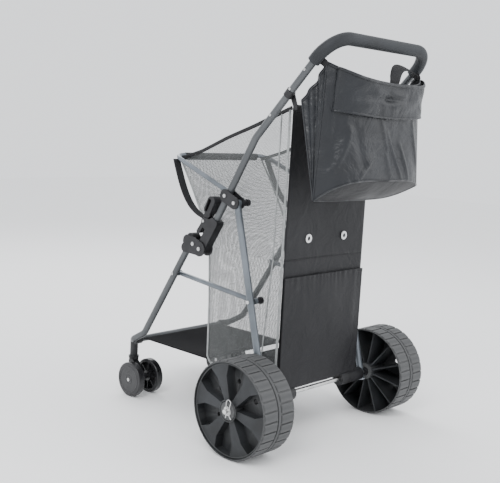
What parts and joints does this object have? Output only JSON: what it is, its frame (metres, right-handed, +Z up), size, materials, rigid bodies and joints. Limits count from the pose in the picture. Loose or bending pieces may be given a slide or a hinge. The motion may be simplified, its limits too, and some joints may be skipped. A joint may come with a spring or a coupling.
{
  "type": "beach cart",
  "caption": "Folding beach cart with wide rear wheels, swivelling twin-wheel front casters, a mesh-sided cargo bag and a tote under its foam handle.",
  "frame": {"origin": "on the floor, at the middle of the overall box", "axes": "+Z up, -Y towards the front casters, +X towards the pusher's left"},
  "size_m": [0.712, 0.774, 1.0657],
  "materials": {
    "tube_grey": "satin",
    "tube_silver": "satin",
    "foam": "matte foam",
    "black_plastic": "moulded",
    "bright_steel": "bright zinc",
    "plug_grey": "moulded",
    "wheel_plastic": "moulded",
    "caster_plastic": "moulded",
    "mesh": "open weave",
    "bag_cloth": "woven",
    "grommet_white": "moulded",
    "webbing": "webbing",
    "tote_nylon": "coated nylon"
  },
  "bodies": {
    "front_frame": {"front_tube": "tube_grey", "latch_socket_left": "black_plastic", "latch_socket_right": "black_plastic", "hinge_rivets": "bright_steel", "lock_pins": "bright_steel", "brace_rivets": "bright_steel", "caster_socket_left": "black_plastic", "caster_socket_right": "black_plastic", "bag_side_left": "mesh", "bag_side_right": "mesh", "bag_front": "bag_cloth", "bag_rear": "bag_cloth", "bag_floor": "bag_cloth", "apron": "bag_cloth", "rear_pocket": "bag_cloth", "grommets": "grommet_white"},
    "handle_frame": {"handle_tube": "tube_grey", "foam_grip": "foam", "pivot_plates_left": "black_plastic", "pivot_plates_right": "black_plastic", "leg_bolts": "bright_steel", "hoop_bolts": "bright_steel", "bolt_caps": "black_plastic", "snap_buttons": "bright_steel", "latch_body_left": "black_plastic", "latch_body_right": "black_plastic", "lever_pins": "bright_steel", "tote_body": "tote_nylon", "tote_pocket": "tote_nylon", "tote_flap": "tote_nylon", "tote_clips": "black_plastic"},
    "latch_lever_left": {"lever_left": "black_plastic"},
    "latch_lever_right": {"lever_right": "black_plastic"},
    "hoop": {"hoop_tube": "tube_silver", "hoop_strap_left": "webbing", "hoop_strap_right": "webbing"},
    "rear_legs": {"rear_leg_left": "tube_silver", "rear_leg_right": "tube_silver", "leg_plugs": "plug_grey", "leg_studs": "bright_steel", "axle": "bright_steel", "axle_sleeves": "black_plastic", "hub_spacers": "black_plastic", "axle_washers": "bright_steel", "hitch_pins": "bright_steel"},
    "brace_bar_left": {"brace_left": "tube_silver", "brace_cap_left": "black_plastic"},
    "brace_bar_right": {"brace_right": "tube_silver", "brace_cap_right": "black_plastic"},
    "wheel_left": {"rear_wheel_left": "wheel_plastic", "wheel_bush_left": "black_plastic"},
    "wheel_right": {"rear_wheel_right": "wheel_plastic", "wheel_bush_right": "black_plastic"},
    "caster_left": {"caster_fork_left": "black_plastic"},
    "caster_right": {"caster_fork_right": "black_plastic"},
    "caster_roll_left": {"caster_wheels_left": "caster_plastic", "caster_axle_left": "bright_steel"},
    "caster_roll_right": {"caster_wheels_right": "caster_plastic", "caster_axle_right": "bright_steel"}
  },
  "joints": [
    {"name": "fold", "type": "hinge", "parent": "front_frame", "child": "handle_frame", "pos_m": [0, -0.055, 0.492], "axis": [-1, 0, 0], "range_deg": [0, 130], "deforming": ["bag_side_left", "bag_side_right", "bag_front", "bag_rear", "bag_floor", "apron", "rear_pocket", "grommets", "tote_body", "tote_pocket", "tote_flap"]},
    {"name": "leg_pivot", "type": "hinge", "parent": "handle_frame", "child": "rear_legs", "pos_m": [0, 0.067, 0.63], "axis": [1, 0, 0], "range_deg": [0, 76.9]},
    {"name": "brace_pivot_left", "type": "hinge", "parent": "front_frame", "child": "brace_bar_left", "pos_m": [0.1956, -0.16592, 0.40507], "axis": [-1, 0, 0], "range_deg": [0, 89.6]},
    {"name": "brace_pivot_right", "type": "hinge", "parent": "front_frame", "child": "brace_bar_right", "pos_m": [-0.1956, -0.16592, 0.40507], "axis": [-1, 0, 0], "range_deg": [0, 89.6]},
    {"name": "hoop_swing", "type": "hinge", "parent": "handle_frame", "child": "hoop", "pos_m": [0, 0.03216, 0.64605], "axis": [-1, 0, 0], "range_deg": [0, 93.8], "deforming": ["hoop_strap_left", "hoop_strap_right"]},
    {"name": "wheel_spin_left", "type": "hinge", "parent": "rear_legs", "child": "wheel_left", "pos_m": [0.289, 0.199, 0.127], "axis": [1, 0, 0], "continuous": true},
    {"name": "wheel_spin_right", "type": "hinge", "parent": "rear_legs", "child": "wheel_right", "pos_m": [-0.289, 0.199, 0.127], "axis": [1, 0, 0], "continuous": true},
    {"name": "lever_left", "type": "hinge", "parent": "handle_frame", "child": "latch_lever_left", "pos_m": [0.212, -0.04653, 0.56993], "axis": [-1, 0, 0], "range_deg": [0, 8], "stiffness_Nm_per_rad": 0.5, "springref_deg": -11.46},
    {"name": "caster_swivel_left", "type": "hinge", "parent": "front_frame", "child": "caster_left", "pos_m": [0.185, -0.371, 0.12], "axis": [0, 0, 1], "continuous": true},
    {"name": "caster_spin_left", "type": "hinge", "parent": "caster_left", "child": "caster_roll_left", "pos_m": [0.185, -0.335, 0.052], "axis": [1, 0, 0], "continuous": true},
    {"name": "lever_right", "type": "hinge", "parent": "handle_frame", "child": "latch_lever_right", "pos_m": [-0.212, -0.04653, 0.56993], "axis": [-1, 0, 0], "range_deg": [0, 8], "stiffness_Nm_per_rad": 0.5, "springref_deg": -11.46},
    {"name": "caster_swivel_right", "type": "hinge", "parent": "front_frame", "child": "caster_right", "pos_m": [-0.185, -0.371, 0.12], "axis": [0, 0, 1], "continuous": true},
    {"name": "caster_spin_right", "type": "hinge", "parent": "caster_right", "child": "caster_roll_right", "pos_m": [-0.185, -0.335, 0.052], "axis": [1, 0, 0], "continuous": true}
  ],
  "couplings": [
    {"joint": "hoop_swing", "follows": "fold", "ratio": 0.72},
    {"joint": "leg_pivot", "follows": "fold", "ratio": 0.5897},
    {"joint": "brace_pivot_left", "follows": "fold", "ratio": 0.6879},
    {"joint": "brace_pivot_right", "follows": "fold", "ratio": 0.6879}
  ]
}
